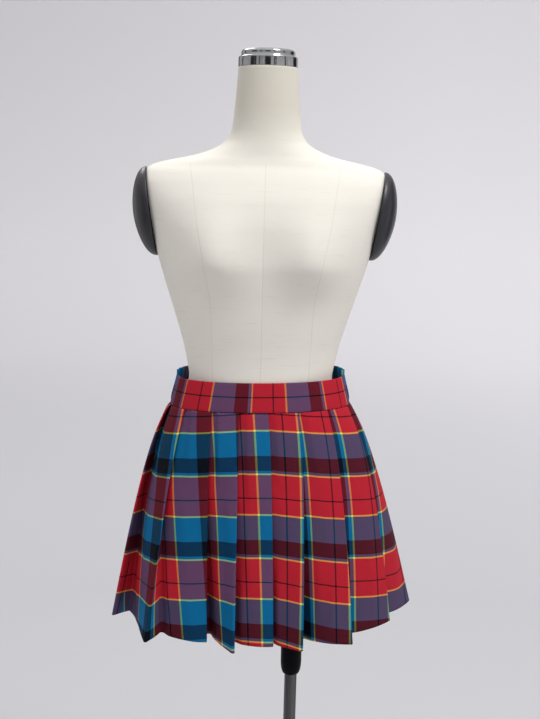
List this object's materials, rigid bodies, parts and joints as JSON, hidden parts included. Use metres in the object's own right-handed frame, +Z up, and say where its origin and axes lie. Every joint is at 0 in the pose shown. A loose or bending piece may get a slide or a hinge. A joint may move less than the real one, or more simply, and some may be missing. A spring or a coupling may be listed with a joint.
{
  "type": "pleated mini skirt on a dress form",
  "caption": "Plaid knife-pleated cotton mini skirt with a flat front waistband and an elastic back, shown on a linen-covered limbless dress form on a pole stand.",
  "frame": {"origin": "on the floor, on the flat underside of the base plate, straight below the middle of the waist", "axes": "+Z up, +X to the viewer's right when facing the front, +Y towards the back, so the front faces -Y"},
  "size_m": [0.4842, 0.3653, 1.5083],
  "materials": {
    "plaid_cloth": "woven cotton plaid in red, blue, purple and maroon with yellow and black lines, matt",
    "band_cloth": "the same woven plaid, folded double",
    "form_linen": "off-white slubby linen over a padded form",
    "cap_chrome": "polished chrome with a faceted ring",
    "cap_black": "semi-gloss black plastic",
    "socket_black": "glossy black plastic",
    "pole_steel": "grey brushed tube",
    "base_metal": "plain grey painted plate"
  },
  "bodies": {
    "root": {"skirt_front": "plaid_cloth", "skirt_back": "plaid_cloth", "waistband_front": "band_cloth", "waistband_back": "band_cloth", "form_body": "form_linen", "neck_cap": "cap_chrome", "shoulder_cap_left": "cap_black", "shoulder_cap_right": "cap_black", "stand_socket": "socket_black", "stand_pole": "pole_steel", "stand_base": "base_metal"}
  },
  "joints": []
}
